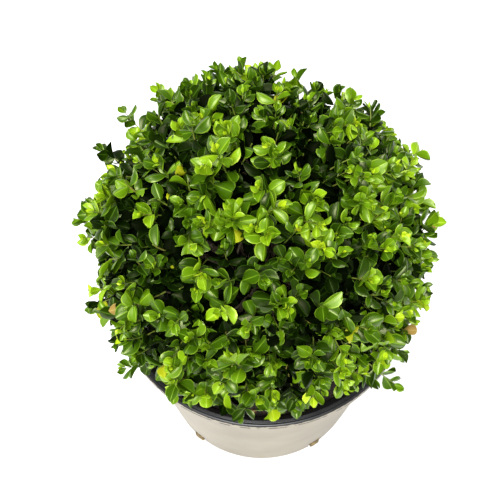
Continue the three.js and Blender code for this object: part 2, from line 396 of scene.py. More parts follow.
def spun(outline, steps, closed=False):
    """An outline of (radius, height) points in millimetres, spun all the way round Z."""
    bm = bmesh.new()
    verts = [bm.verts.new((r * MM, 0, z * MM)) for r, z in outline]
    pairs = list(zip(verts, verts[1:] + verts[:1])) if closed else list(zip(verts, verts[1:]))
    edges = [bm.edges.new(pair) for pair in pairs]
    bmesh.ops.spin(
        bm,
        geom=verts + edges,
        cent=(0, 0, 0),
        axis=(0, 0, 1),
        angle=math.tau,
        steps=steps,
        use_merge=True,
    )
    bmesh.ops.remove_doubles(bm, verts=bm.verts, dist=0.002 * MM)
    bmesh.ops.recalc_face_normals(bm, faces=bm.faces)
    return bm


def node_points(*names):
    """All the corners of some CAD nodes, in metres."""
    stacks = []
    for name in names:
        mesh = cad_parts[name].data
        co = np.empty(len(mesh.vertices) * 3)
        mesh.vertices.foreach_get("co", co)
        stacks.append(co.reshape(-1, 3))
    return np.concatenate(stacks)


def rings_of(node):
    """For each height in a turned CAD node, in mm: its least and greatest radius there."""
    points = node_points(node) / MM
    radius = np.hypot(points[:, 0], points[:, 1])
    rings = {}
    for z, r in zip(points[:, 2].round(1), radius):
        low, high = rings.get(z, (r, r))
        rings[z] = (min(low, r), max(high, r))
    return dict(sorted(rings.items()))


def unit(v):
    """A vector, or each row of an array, made 1 long."""
    return v / np.linalg.norm(v, axis=-1, keepdims=True)


# ------------------------------------------------------------------ pot

POT_STEPS, RIM_STEPS = 180, 200  # of a full spin
HALFWAY = 100.0  # mm: neither the CAD pot nor its mix has corners near this height
POT_FLOOR = 4.0  # mm up to the floor's upper face
WALL_BANDS = 8  # rings of corners between the drain holes and the collar
FOOT_ROUND = 2.9  # mm: the CAD pot's foot is rounded below this
DRAIN_STEPS = 4  # a drain hole is this many steps of the spin wide
DRAIN_INNER = 96.0  # mm from the axis to a drain hole's inner end


def make_pot():
    """The tapering wall, white outside and black inside, with drain holes through its foot corner."""
    rings = rings_of("pot")
    heights = [z for z in rings if z > FOOT_ROUND]
    foot = rings[0.0][1]
    corner_z, top_z = heights[0], heights[-1]
    corner = rings[corner_z][1]
    inner_top, top = rings[top_z]
    collar_z = min(z for z in heights if z > HALFWAY)
    collar = rings[collar_z][1]
    hole_top = max(z for z in heights if z < HALFWAY)
    wall = top - inner_top

    def outer_radius(z):
        """The wall's outer radius at a height between its corner and its collar."""
        return corner + (collar - corner) / (collar_z - corner_z) * (z - corner_z)

    # From the middle of the underside round the foot's corner, up the wall and over the collar.
    bands = np.linspace(hole_top + 10, collar_z - 6, WALL_BANDS)
    outside = [(0, 0), (DRAIN_INNER, 0), (foot - 0.6, 0), (foot + 1.2, 0.5), (corner - 0.4, 1.6)]
    outside += [(corner, corner_z), (outer_radius(hole_top), hole_top)]
    outside += [(outer_radius(z), z) for z in bands]
    outside += [(collar, collar_z), (collar + 1.0, collar_z + 1.3), (top, top_z)]
    # From the top down the inner face, through a small fillet, to the middle of the floor.
    inside = [(inner_top, top_z), (collar - wall, collar_z + 1)]
    inside += [(outer_radius(z) - wall, z) for z in reversed(bands)]
    inside += [(outer_radius(hole_top) - wall, hole_top)]
    inside += [(outer_radius(POT_FLOOR) - wall - 0.6, POT_FLOOR + 0.8)]
    inside += [(outer_radius(POT_FLOOR) - wall - 2, POT_FLOOR)]
    inside += [(DRAIN_INNER, POT_FLOOR), (0, POT_FLOOR)]
    bm = spun(outside + inside, POT_STEPS)

    # Each hole goes through the underside, the corner and the foot of the wall.
    step = math.tau / POT_STEPS
    half = DRAIN_STEPS / 2 * step
    for azimuth in drain_azimuths():
        azimuth = round(azimuth / step) * step
        cutout = []
        for face in bm.faces:
            c = face.calc_center_median()
            away = abs((math.atan2(c.y, c.x) - azimuth + math.pi) % math.tau - math.pi)
            if away < half and c.z < hole_top * MM and math.hypot(c.x, c.y) > DRAIN_INNER * MM:
                cutout.append(face)
        bmesh.ops.delete(bm, geom=cutout, context="FACES")
        edges = [edge for edge in bm.edges if edge.is_boundary]
        bmesh.ops.bridge_loops(bm, edges=edges)
    bmesh.ops.recalc_face_normals(bm, faces=bm.faces)

    # The faces that look inwards or, above the underside, upwards are the black of the inside.
    for face in bm.faces:
        c = face.calc_center_median() / MM
        inward = face.normal.x * c.x + face.normal.y * c.y < -0.2 * math.hypot(c.x, c.y)
        face.material_index = int(inward or (c.z > 0.5 and face.normal.z > 0.3))
    obj = from_bmesh("pot_wall", bm, WHITE_PLASTIC, BLACK_PLASTIC)
    return place_piece(obj, "pot_shell", "pot")


def drain_azimuths():
    """Where the CAD pot's drain holes are: the middles of the gaps in its foot corner."""
    points = node_points("pot") / MM
    radius = np.hypot(points[:, 0], points[:, 1])
    near_hole = points[(points[:, 2] < 0.1) & (radius > 80) & (radius < DRAIN_INNER + 2)]
    angles = np.sort(np.unique(np.arctan2(near_hole[:, 1], near_hole[:, 0]).round(4)))
    groups = np.split(angles, np.where(np.diff(angles) > 0.5)[0] + 1)
    return [float(group.mean()) for group in groups]


# A plug in a drain hole, in mm: its middle's radius and height, and half its size, inwards,
# sideways and upwards.
PLUG_PLACE = (106.0, 0, 9.2)
PLUG_HALF = (2.6, 6.3, 8.2)


def make_root_plugs():
    """Roots and mix that have grown into the drain holes, out to the wall's outer face."""
    bm = bmesh.new()
    for azimuth in drain_azimuths():
        made = bmesh.ops.create_icosphere(bm, subdivisions=4, radius=1)
        place = Matrix.Rotation(azimuth, 4, "Z") @ Matrix.Translation(Vector(PLUG_PLACE) * MM)
        size = Matrix.Diagonal(Vector(PLUG_HALF) * MM)
        # A ball squared up to fill the hole, and made lumpy.
        for vert in made["verts"]:
            v = vert.co / max(abs(c) for c in vert.co) ** 0.7
            v *= 0.9 + 0.12 * noise.fractal(v * 2.2 + Vector((azimuth, 0, 0)), 0.8, 2.1, 3)
            vert.co = place @ (size @ v)
    obj = from_bmesh("root_plugs", bm, flake_material("root_mat", "#2c2115", "#9c8550", 5.0))
    return place_piece(obj, "potting_mix")


def make_rim():
    """The rolled rim: a bead with fine rings moulded in it, the ledge inside it, and a short skirt.
    The wall's white skin comes up over the bead's outer side."""
    rings = rings_of("pot_rim")
    low, high = min(rings), max(rings)
    outer = max(r for _, r in rings.values())
    inner = min(r for r, _ in rings.values())
    bead_z = min(z for z in rings if z > high - 8)
    # The bead, from its underside up its outer side and over its round top.
    bead = [(outer - 4.2, bead_z)]
    bead += [(outer - 0.9, bead_z), (outer - 0.25, bead_z + 0.5), (outer, bead_z + 1.4)]
    bead += [(outer - 0.05, high - 2.6), (outer - 0.5, high - 1.2), (outer - 1.3, high - 0.35)]
    bead += [(outer - 2.2, high), (outer - 3.0, high - 0.1)]
    # Three rings, 0.5 mm proud and about 2 mm apart, go round the slope inside the bead.
    slope = []
    for inwards, down in ((3.7, 0.9), (5.2, 2.3), (6.7, 4.1)):
        r, z = outer - inwards, high - down
        slope += [(r, z - 0.35), (r - 0.3, z + 0.15), (r - 0.7, z + 0.1), (r - 0.9, z - 0.6)]
    # The ledge below it, then the skirt's foot, and the back of all of them up to the bead again.
    ledge = [(outer - 8.6, high - 6.2), (inner + 2.2, high - 11.2), (inner + 0.8, high - 12.6)]
    ledge += [(inner + 0.4, high - 14), (inner, low)]
    back = [(inner + 1.5, low), (inner + 1.9, high - 14.2), (inner + 3.6, high - 12.4)]
    back += [(outer - 8.2, high - 8.4), (outer - 5.4, high - 5.6)]
    bm = spun(bead + slope + ledge + back, RIM_STEPS, closed=True)
    for face in bm.faces:
        c = face.calc_center_median() / MM
        on_outer_side = math.hypot(c.x, c.y) > outer - 3.2 and bead_z - 0.2 < c.z < high - 0.8
        face.material_index = int(on_outer_side)
    obj = from_bmesh("rolled_rim", bm, BLACK_PLASTIC, WHITE_PLASTIC)
    return place_piece(obj, "pot_rim", "pot_rim")


# ------------------------------------------------------------------ potting mix

MIX_MOUND, MIX_SLOPE = 3 * MM, 60 * MM  # the mound's height, and how far in from the wall it rises
CLODS, CRUMBS = 1.6 * MM, 0.5 * MM  # how high the clods and the crumbs on them stand
MIX_RINGS, MIX_STEPS = 72, 220  # of corners on its top, and of its spin


def mix_height(x, y, level, edge):
    """The crumbly top of the mix at a place, in metres."""
    mound = MIX_MOUND * min(1.0, max(0.0, (edge - math.hypot(x, y)) / MIX_SLOPE))
    clods = noise.fractal(Vector((x, y, 0.3)) * per_metre(16), 0.9, 2.1, 4)
    crumbs = noise.fractal(Vector((x, y, 0.7)) * per_metre(4), 0.8, 2.0, 3)
    return level + mound + CLODS * clods + CRUMBS * crumbs


def make_potting_mix(rng):
    """The mix with its crumbly top and what lies on it. Returns its level at the wall."""
    cad_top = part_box("potting_mix")[1].z
    rings = rings_of("potting_mix")
    foot_z = min(rings)
    foot = rings[foot_z][1]
    edge_z = min(z for z in rings if z > HALFWAY)
    edge = max(r for _, r in rings.values())
    surface = [(r, edge_z) for r in np.linspace(edge, 0, MIX_RINGS)]
    bm = spun([(0, foot_z), (foot - 1, foot_z), (foot, foot_z + 1)] + surface, MIX_STEPS)
    level = edge_z * MM
    for vert in bm.verts:
        if vert.co.z > level - 0.1 * MM and math.hypot(vert.co.x, vert.co.y) < (edge - 0.5) * MM:
            vert.co.z = min(mix_height(vert.co.x, vert.co.y, level, edge * MM), cad_top + 2 * MM)
    obj = from_bmesh("potting_mix_surface", bm, damp_potting_mix())
    place_piece(obj, "potting_mix", "potting_mix")
    scatter_chips(rng, level, edge * MM)
    return level


def chip_shape(rng):
    """A torn flake of bark, 1 long, broad and thick before it is sized."""
    bm = bmesh.new()
    bmesh.ops.create_cube(bm, size=1)
    bmesh.ops.subdivide_edges(bm, edges=bm.edges, cuts=1, use_grid_fill=True)
    for vert in bm.verts:
        vert.co += Vector(rng.uniform(-0.16, 0.16, 3))
        vert.co.z *= 1 - 0.5 * abs(vert.co.x)
    return bm


def shape_arrays(bm):
    """A small mesh as arrays: corners, four-sided faces, and each face's material slot."""
    bm.verts.ensure_lookup_table()
    verts = np.array([v.co for v in bm.verts])
    faces = np.array([[v.index for v in f.verts] for f in bm.faces])
    marks = np.array([f.material_index for f in bm.faces])
    bm.free()
    return verts, faces, marks


def joined_copies(name, batches, materials):
    """One mesh of many placed copies. A batch is (shape, places, turns, slots): the shape's arrays,
    n points, n 3 x 3 matrices, and for each copy the first of its material slots."""
    verts, faces, slots, start = [], [], [], 0
    for (shape, quads, marks), places, turns, first in batches:
        placed = np.einsum("nij,vj->nvi", turns, shape) + places[:, None]
        offsets = start + np.arange(len(places)) * len(shape)
        verts.append(placed.reshape(-1, 3))
        faces.append((quads[None] + offsets[:, None, None]).reshape(-1, 4))
        slots.append((marks[None] + first[:, None]).ravel())
        start += len(places) * len(shape)
    verts, faces, slots = np.concatenate(verts), np.concatenate(faces), np.concatenate(slots)
    mesh = bpy.data.meshes.new(name)
    mesh.vertices.add(len(verts))
    mesh.vertices.foreach_set("co", verts.ravel())
    mesh.loops.add(faces.size)
    mesh.loops.foreach_set("vertex_index", faces.ravel())
    mesh.polygons.add(len(faces))
    mesh.polygons.foreach_set("loop_start", np.arange(len(faces)) * 4)
    mesh.polygons.foreach_set("use_smooth", [True] * len(faces))
    obj = new_object(name, mesh, *materials)
    mesh.polygons.foreach_set("material_index", slots)
    mesh.update(calc_edges=True)
    mesh.validate()
    return obj


CHIP_SHAPES, CHIPS_OF_A_SHAPE = 4, 130

# What lies on the mix: its share, name, dark and light colour, and its grain's size in mm.
CHIP_LOOKS = [
    (0.45, "dark_bark_chip", "#1d130c", "#3c2a1c", 2.5),
    (0.32, "brown_bark_chip", "#3a2616", "#6b4a2e", 2.5),
    (0.14, "tan_wood_chip", "#7a5c38", "#b39468", 2.5),
    (0.09, "perlite", "#b9b2a4", "#dcd8cd", 1.0),
]
PERLITE = 3  # its row in CHIP_LOOKS


def scatter_chips(rng, level, edge):
    """Bark chips and perlite that lie on the mix, evenly but for the stem's foot and the rim."""
    batches = []
    count = CHIPS_OF_A_SHAPE
    for _ in range(CHIP_SHAPES):
        r = edge * np.sqrt(rng.uniform(0.08, 0.93, count))
        a = rng.uniform(0, math.tau, count)
        x, y = r * np.cos(a), r * np.sin(a)
        z = np.array([mix_height(px, py, level, edge) for px, py in zip(x, y)])
        spin = rng.uniform(0, math.tau, count)
        tilt = rng.normal(0, 0.3, (count, 2))
        # Bark chips are 3 to 9 mm long and flat; grains of perlite are round and about 2 mm.
        length, width = rng.uniform(3, 9, count), rng.uniform(1.6, 4, count)
        size = np.stack([length, width, rng.uniform(0.8, 1.8, count)], 1)
        kind = rng.choice(len(CHIP_LOOKS), count, p=[share for share, *_ in CHIP_LOOKS])
        grains = kind == PERLITE
        size[grains] = rng.uniform(1.4, 2.6, (np.sum(grains), 1))
        turns = []
        for s, (tilt_x, tilt_y), m in zip(spin, tilt, size):
            tilted = Matrix.Rotation(tilt_x, 3, "X") @ Matrix.Rotation(tilt_y, 3, "Y")
            turns.append(Matrix.Rotation(s, 3, "Z") @ tilted @ Matrix.Diagonal(Vector(m) * MM))
        places = np.stack([x, y, z + 0.35 * size[:, 2] * MM], 1)
        batches.append((shape_arrays(chip_shape(rng)), places, np.array(turns), kind))
    looks = [flake_material(*look) for _, *look in CHIP_LOOKS]
    return place_piece(joined_copies("bark_chips", batches, looks), "potting_mix")


# ------------------------------------------------------------------ stem and boughs


def finished_mesh(obj):
    """The object's mesh with its modifiers applied, and the object taken away."""
    evaluated = obj.evaluated_get(bpy.context.evaluated_depsgraph_get())
    mesh = bpy.data.meshes.new_from_object(evaluated)
    bpy.data.objects.remove(obj)
    return mesh


BARK_VOXEL = 0.8 * MM
BARK_PLATES, BARK_SWELL = 0.34 * MM, 0.5 * MM  # how high the plates and the limb's swellings stand


def bark_over(node, bark):
    """A limb in the shape of its CAD node, with the bark's plates and cracks raised on it."""
    bm = bmesh.new()
    bm.from_mesh(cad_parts[node].data)
    bmesh.ops.remove_doubles(bm, verts=bm.verts, dist=0.01 * MM)
    smooth = from_bmesh(node + "_smooth", bm)
    remesh = smooth.modifiers.new("even", "REMESH")
    remesh.mode = "VOXEL"
    remesh.voxel_size = BARK_VOXEL
    relax = smooth.modifiers.new("relax", "SMOOTH")
    relax.iterations = 6
    mesh = finished_mesh(smooth)
    for vert, normal in zip(mesh.vertices, [v.normal.copy() for v in mesh.vertices]):
        p = vert.co
        drawn = Vector((p.x, p.y, p.z * BARK_DRAWN_OUT))
        plates = noise.fractal(drawn * per_metre(3.2), 0.8, 2.1, 4)
        swell = noise.noise(p * per_metre(14))
        vert.co = p + normal * (BARK_PLATES * plates + BARK_SWELL * swell)
    mesh.polygons.foreach_set("use_smooth", [True] * len(mesh.polygons))
    obj = new_object(node + "_bark", mesh, bark)
    return place_piece(obj, "bark", node)


def limb_mesh(name, lines, material):
    """Six-sided tapering limbs along lines of points. A line is (n points, n radii), in metres."""
    curve = bpy.data.curves.new(name, "CURVE")
    curve.dimensions = "3D"
    curve.bevel_depth = 1.0
    curve.bevel_resolution = 1
    curve.use_fill_caps = True
    for points, radii in lines:
        spline = curve.splines.new("POLY")
        spline.points.add(len(points) - 1)
        spline.points.foreach_set("co", np.c_[points, np.ones(len(points))].ravel())
        spline.points.foreach_set("radius", radii)
    drawn = bpy.data.objects.new(name, curve)
    bpy.context.scene.collection.objects.link(drawn)
    bpy.context.view_layer.update()
    mesh = finished_mesh(drawn)
    mesh.materials.clear()
    mesh.polygons.foreach_set("use_smooth", [True] * len(mesh.polygons))
    return new_object(name, mesh, material)


def bent(start, bend, end, steps):
    """Points along a quadratic curve."""
    t = np.linspace(0, 1, steps)[:, None]
    return (1 - t) ** 2 * start + 2 * t * (1 - t) * bend + t**2 * end


# ------------------------------------------------------------------ leaves

LEAF_LENGTH, LEAF_WIDTH = 16.5 * MM, 11 * MM
MIDRIB_COLUMN = 3


def leaf_shape(cup, arch, fold=0.0, end=1.0, plain=False):
    """A box leaf, 1 long and 1 broad, along +Y with its upper side to +Z. It is egg-shaped and
    broadest past the middle, with a blunt, faintly notched tip and a groove over the midrib.
    cup drops its margins, arch bends it along its length, fold lifts its halves, and an end
    under 1 is where the shears cut it off."""
    # Where the columns and rows of the grid lie, and the leaf's width in each row. The narrow columns
    # are its margins and its midrib, and they take the paler material, which on the margins is a
    # painted highlight.
    across = [-1, 0, 1] if plain else [-1, -0.9, -0.45, -0.06, 0.06, 0.45, 0.9, 1]
    along = [0, 0.3, 0.65, 0.9, 1] if plain else [0, 0.1, 0.28, 0.52, 0.74, 0.9, 1]
    widths = [0.1, 0.72, 1.0, 0.72, 0.3] if plain else [0.08, 0.38, 0.78, 1.0, 0.90, 0.62, 0.28]
    bm = bmesh.new()
    columns, rows = len(across) - 1, len(along) - 1
    bmesh.ops.create_grid(bm, x_segments=columns, y_segments=rows, size=1)
    for face in bm.faces:
        column = int((face.calc_center_median().x + 1) / 2 * columns)
        face.material_index = int(not plain and column in (0, MIDRIB_COLUMN, columns - 1))
    for vert in bm.verts:
        u = across[round((vert.co.x + 1) / 2 * columns)]
        row = round((vert.co.y + 1) / 2 * rows)
        t = along[row] * end
        half = 0.5 * float(np.interp(t, along, widths))
        tip_round = 0.07 * u * u * max(0.0, t - 0.6) / 0.4
        notch = 0.025 * (1 - min(1.0, abs(u) * 3)) if row == rows and end == 1 else 0.0
        groove = 0.016 if abs(u) < 0.1 and 0 < row < rows else 0.0
        z = -cup * half * u * u - arch * (t - 0.45) ** 2 + fold * half * abs(u) - groove
        vert.co = (half * u, t - tip_round * (end == 1) - notch, z)
    return shape_arrays(bm)


class Foliage:
    """Leaves gathered as rows before they are joined into one piece for each mass."""

    FINE = [
        leaf_shape(cup=0.55, arch=0.28),
        leaf_shape(cup=0.32, arch=0.50),
        leaf_shape(cup=-0.42, arch=-0.12),
        leaf_shape(cup=0.0, arch=0.18, fold=0.45),
        leaf_shape(cup=0.3, arch=0.2, end=0.62),
    ]
    SHARES = [0.36, 0.18, 0.26, 0.20]  # how common the whole ones are
    CUT = 4  # the one that the shears cut
    PLAIN = [leaf_shape(cup=0.35, arch=0.3, plain=True), leaf_shape(cup=-0.2, arch=0.1, plain=True)]

    def __init__(self):
        self.rows = {}

    def add(self, place, way, face, length, width, age_or_shade, shape, fine=True):
        """A leaf from place along way, with its upper side towards face."""
        kind = ("fine", shape) if fine else ("plain", shape % len(self.PLAIN))
        self.rows.setdefault(kind, []).append((place, way, face, length, width, age_or_shade))

    def joined(self, name, materials):
        """All the leaves as one object."""
        batches = []
        for kind in sorted(self.rows):
            detail, number = kind
            shape = self.FINE[number] if detail == "fine" else self.PLAIN[number]
            columns = [np.array(column) for column in zip(*self.rows[kind])]
            place, way, face, length, width, age_or_shade = columns
            y = unit(way)
            x = unit(np.cross(y, face))
            z = np.cross(x, y)
            turns = np.stack([x * width[:, None], y * length[:, None], z * length[:, None]], 2)
            batches.append((shape, place, turns, age_or_shade * 2))  # two materials for each age
        return joined_copies(name, batches, materials)


# ------------------------------------------------------------------ crown

# Pairs of leaves down a shoot from its tip: distance from the tip in mm, share of full leaf size,
# and angle from the shoot in degrees.
LEAF_PAIRS = [
    (0.3, 0.30, 14),
    (1.6, 0.56, 26),
    (4.6, 0.82, 42),
    (9.2, 0.98, 56),
    (15.0, 1.04, 64),
    (21.5, 1.04, 70),
    (28.5, 0.98, 76),
]

# What a shoot's leaves are, from its tip inwards, and how common that is. The innermost pairs take the
# darkest rows: painted shade.
SHOOT_KINDS = [
    (0.16, ["lime", "fresh", "fresh", "young", "young", "grown", "old"]),
    (0.27, ["lime", "fresh", "young", "young", "grown", "mature", "old"]),
    (0.33, ["fresh", "young", "grown", "grown", "mature", "old", "painted_shade"]),
    (0.24, ["young", "grown", "mature", "mature", "old", "painted_shade", "painted_shade"]),
]
# The leaves of a shoot that lies deep in the crown: nearly all near black, painted shade.
DEEP_PAINTED_SHADE_KIND = ["mature", "old", "old", "painted_shade", "painted_shade", "painted_shade", "painted_shade"]

SHOOTS = 820  # over a whole ball
UNDERSIDE = -0.66  # no shoot grows lower than this on a ball of radius 1
SHOOT_LENGTH = 36 * MM
TOP_SHARE = 0.955  # the crown's top is this many of its radii over its middle
SCATTER = 0.32  # how far a shoot is off its even place, in steps between shoots

# How deep a shoot's tip lies under the clipped surface, in mm. Most lie near it, the others
# anywhere in UNDER. The hollows are deeper, and so is the skirt over the pot.
NEAR_SURFACE, NEAR_SHARE = 4, 0.66
UNDER = (6, 20)
HOLLOW_DEPTH, SKIRT_DEPTH = 14, 7
HOLLOW_SIZE = 62  # mm between the dark hollows in the crown
HOLLOW_PLACE = Vector((-17.0, 20.5, -22.5))  # moves all the hollows about
CLIPPED_PROUD = 1.5  # the topmost leaves of a clipped shoot stand this much over the surface
LONG_SHARE, LONG_PROUD = 0.06, (7, 13)  # a few new shoots stand out by more

# Places where the crown is thin or full: azimuth and elevation from the ball's middle and the
# place's width, in degrees, and how much deeper the shoots lie there, in mm, or less deep where
# that is negative.
UNEVEN_PLACES = [
    (14, 72, 12, 22),
    (-132, -23, 13, 14),
    (-70, -28, 9, 10),
    (-33, -16, 12, 9),
    (56, 25, 10, 6),
    (0, 0, 24, 5),
    (-89, 59, 13, -16),
]

# Sprays the shears missed: azimuth and elevation from the ball's middle in degrees, how far the
# tip stands out in mm, and how lush it is: over 1 it is a fresh tuft with bigger leaves.
STRAYS = [
    (139, 20, 23, 1.0),
    (152, 14, 18, 1.0),
    (128, 27, 12, 1.0),
    (106, 30, 5, 1.0),
    (97, 33, 8, 1.0),
    (84, 29, 12, 1.0),
    (76, 33, 8, 1.0),
    (173, 4, 7, 1.0),
    (165, 22, 7, 1.0),
    (-163, -9, 5, 1.0),
    (-143, -19, 17, 1.0),
    (-152, -14, 1, 1.0),
    (-125, -25, 9, 1.1),
    (-107, -28, 6, 1.0),
    (-87, -29, 9, 1.15),
    (-57, -25, 9, 1.1),
    (-43, -20, 30, 1.0),
    (-47, -22, 16, 1.0),
    (-35, -17, 14, 1.0),
    (27, 14, 18, 1.0),
    (-174, 77, 11, 1.3),
    (-160, 72, 8, 1.2),
]


def crown_frame():
    """The ball's middle and radius, from the masses."""
    points = node_points(*MASSES)
    low, high = points.min(0), points.max(0)
    radius = (high - low)[:2].mean() / 2
    centre = (low + high) / 2
    centre[2] = high[2] - TOP_SHARE * radius
    return centre, radius


def outer_skin():
    """The masses' faces for finding the nearest point of the crown, and each face's mass."""
    verts, faces, owner = [], [], []
    for number, name in enumerate(MASSES):
        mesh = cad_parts[name].data
        start = len(verts)
        verts += [v.co.copy() for v in mesh.vertices]
        faces += [[start + i for i in p.vertices] for p in mesh.polygons]
        owner += [number] * len(mesh.polygons)
    return BVHTree.FromPolygons(verts, faces), owner


def shoot_directions(rng):
    """Evenly spread directions, a little disturbed, all over the ball but its underside."""
    i = np.arange(SHOOTS) + 0.5
    z = 1 - 2 * i / SHOOTS
    turn = math.pi * (1 + math.sqrt(5)) * i
    flat = np.sqrt(1 - z * z)
    d = np.stack([flat * np.cos(turn), flat * np.sin(turn), z], 1)
    step = math.sqrt(4 * math.pi / SHOOTS)
    d = unit(d + rng.normal(0, SCATTER * step, d.shape))
    return d[d[:, 2] > UNDERSIDE]


def direction_of(azimuth, elevation):
    """The unit vector that points this way. Angles in degrees."""
    a, e = math.radians(azimuth), math.radians(elevation)
    return np.array([math.cos(a) * math.cos(e), math.sin(a) * math.cos(e), math.sin(e)])


def tilts(direction):
    """The direction itself and four others, five degrees off it."""
    side = unit(np.cross(direction, [0.31, 0.87, 0.39]))
    other = np.cross(direction, side)
    slope = math.tan(math.radians(5))
    return [direction] + [unit(direction + slope * v) for v in (side, -side, other, -other)]


def plan_shoots(rng, centre, radius):
    """Each shoot's tip, way, mass and depth under the clipped surface."""
    skin, owner = outer_skin()
    shoots = []

    def plan(d, proud, depth, stray, lush=1.0):
        # A tip reaches as far as the masses do this way or a little to one side.
        found = [skin.find_nearest(Vector(centre + t * (radius + 12 * MM))) for t in tilts(d)]
        reach = max(np.linalg.norm(np.array(hit) - centre) for hit, _, _, _ in found)
        tip = centre + d * (reach + (proud - depth) * MM)
        wander = 0.2 if stray else 0.42  # a stray shoot points more nearly outwards
        way = unit(d + wander * UP + rng.normal(0, wander, 3))
        mass = owner[found[0][2]]
        shoot = {"tip": tip, "out": d, "way": way, "mass": mass, "depth": depth}
        shoots.append(shoot | {"stray": stray, "lush": lush})

    for d in shoot_directions(rng):
        near = rng.random() < NEAR_SHARE
        depth = abs(rng.normal(0, NEAR_SURFACE)) if near else rng.uniform(*UNDER)
        hollow = noise.noise(Vector(d) * (radius / MM / HOLLOW_SIZE * 2) + HOLLOW_PLACE)
        depth += HOLLOW_DEPTH * min(1.0, max(0.0, -0.05 - hollow) / 0.25)
        depth += SKIRT_DEPTH * min(1.0, max(0.0, -0.3 - d[2]) / 0.2)
        for azimuth, elevation, width, deeper in UNEVEN_PLACES:
            off = math.degrees(math.acos(min(1.0, float(d @ direction_of(azimuth, elevation)))))
            depth += deeper * math.exp(-((off / width) ** 2))
        depth = max(0.0, depth)
        stray = depth < UNDER[0] and rng.random() < LONG_SHARE
        plan(d, rng.uniform(*LONG_PROUD) if stray else CLIPPED_PROUD, depth, stray)
    for azimuth, elevation, proud, lush in STRAYS:
        plan(direction_of(azimuth, elevation), proud, 0.0, True, lush)
    return shoots


# Shoots that lie deeper get darker leaves as painted shade of the crown's inside: darker past the
# first depth, near black past the second.
PAINTED_SHADE_DEPTH, DEEP = 8, 15  # mm under the surface where leaves are darker, and where they are darkest
CLIPPED_SHARE = 0.13  # of the shoots have lost their youngest pairs to the shears
CLIPPED_PAIRS = 3
CUT_SHARE = 0.05  # of the leaves are cut across
YELLOW_SHARE, DRY_SHARE = 0.006, 0.0015
# How unevenly leaves sit: in degrees off the shoot, in radians round it, and how their faces waver.
UNEVEN_LEAN, UNEVEN_TURN, UNEVEN_FACE = 13, 0.18, 0.42


def clear_of_pot(point):
    """Whether a point keeps off the rim, the wall and the mix."""
    r = math.hypot(point[0], point[1])
    if r > RIM_INNER - 1 * MM:
        return point[2] > RIM_TOP + 1.5 * MM or r > RIM_OUTER + 2 * MM
    return point[2] > MIX_LEVEL + 5 * MM


def grow_shoot(rng, shoot, foliage):
    """Adds a shoot's leaves. Returns its points from base to tip, and whether it is clipped."""
    tip, way, out = shoot["tip"], shoot["way"], shoot["out"]
    length = SHOOT_LENGTH * rng.uniform(0.85, 1.15)
    base = tip - unit(0.55 * way + 0.45 * unit(out - 0.1 * UP)) * length
    points = bent(base, tip - 0.5 * length * way, tip, 7)
    deep = shoot["depth"] > DEEP
    kind = rng.choice(len(SHOOT_KINDS), p=[share for share, _ in SHOOT_KINDS])
    # A shoot deep under the surface takes one of the darker kinds, or the deepest list: painted shade.
    if shoot["depth"] > PAINTED_SHADE_DEPTH:
        kind = max(kind, 2)  # one of the two darker kinds
    if shoot["lush"] > 1:
        kind = 0  # the freshest
    ages_or_shade = DEEP_PAINTED_SHADE_KIND if deep else SHOOT_KINDS[kind][1]
    clipped = rng.random() < CLIPPED_SHARE
    stretch = rng.uniform(1.2, 1.6) if shoot["stray"] else rng.uniform(0.85, 1.45)
    vigour = rng.uniform(0.88, 1.16) * shoot["lush"]
    first_turn = rng.uniform(0, math.pi)
    side = unit(np.cross(way, [0.3, 0.9, 0.1]))
    other = np.cross(way, side)
    for number, (down, share, lean) in enumerate(LEAF_PAIRS):
        if clipped and number < CLIPPED_PAIRS:
            continue
        down = down * stretch * MM
        if down > length * 0.95:
            break
        place = tip - way * down + (base + way * length - tip) * (down / length) ** 2
        turn = first_turn + number * math.pi / 2 + rng.normal(0, UNEVEN_TURN)
        for half in (0, math.pi):
            if number > 4 and rng.random() < 0.15:
                continue
            flat = math.cos(turn + half) * side + math.sin(turn + half) * other
            open_by = math.radians(lean + rng.normal(0, UNEVEN_LEAN))
            leaf_way = math.cos(open_by) * way + math.sin(open_by) * flat
            face = way + rng.normal(0, UNEVEN_FACE, 3) + 0.25 * UP
            size = share * vigour * rng.uniform(0.84, 1.1)
            leaf_length, leaf_width = LEAF_LENGTH * size, LEAF_WIDTH * size * rng.uniform(0.86, 1.1)
            if not clear_of_pot(place + leaf_way * leaf_length) or not clear_of_pot(place):
                continue
            older = int(rng.choice(3, p=[0.15, 0.65, 0.2])) - 1
            age_or_shade = min(max(AGE_OR_SHADE[ages_or_shade[number]] + older, AGE_OR_SHADE["lime"]), AGE_OR_SHADE["painted_shade"])
            chance = rng.random()
            if chance < YELLOW_SHARE:
                age_or_shade = AGE_OR_SHADE["yellowing"]
            elif chance < YELLOW_SHARE + DRY_SHARE:
                age_or_shade = AGE_OR_SHADE["dry"]
            shape = int(rng.choice(len(Foliage.SHARES), p=Foliage.SHARES))
            if number > 1 and rng.random() < CUT_SHARE:
                shape = Foliage.CUT
            fine = number < 6 and not (deep and number > 3)
            foliage.add(place, leaf_way, face, leaf_length, leaf_width, age_or_shade, shape, fine)
    return points[:-1] if clipped else points, clipped


def grow_inner_leaves(rng, twig, foliage):
    """Leaves that sit along a twig inside the crown, nearly all near black: painted shade."""
    for _ in range(INNER_LEAVES):
        place = twig[rng.integers(1, len(twig))]
        way = unit(rng.normal(0, 1, 3) + 0.6 * UP)
        size = rng.uniform(0.75, 1.0)
        if not clear_of_pot(place + way * LEAF_LENGTH):
            continue
        # Three in four take the darkest row and the rest the old one: painted shade.
        age_or_shade = AGE_OR_SHADE["painted_shade"] if rng.random() < 0.75 else AGE_OR_SHADE["old"]
        face = UP + rng.normal(0, 0.5, 3)
        foliage.add(place, way, face, LEAF_LENGTH * size, LEAF_WIDTH * size, age_or_shade, 0, fine=False)


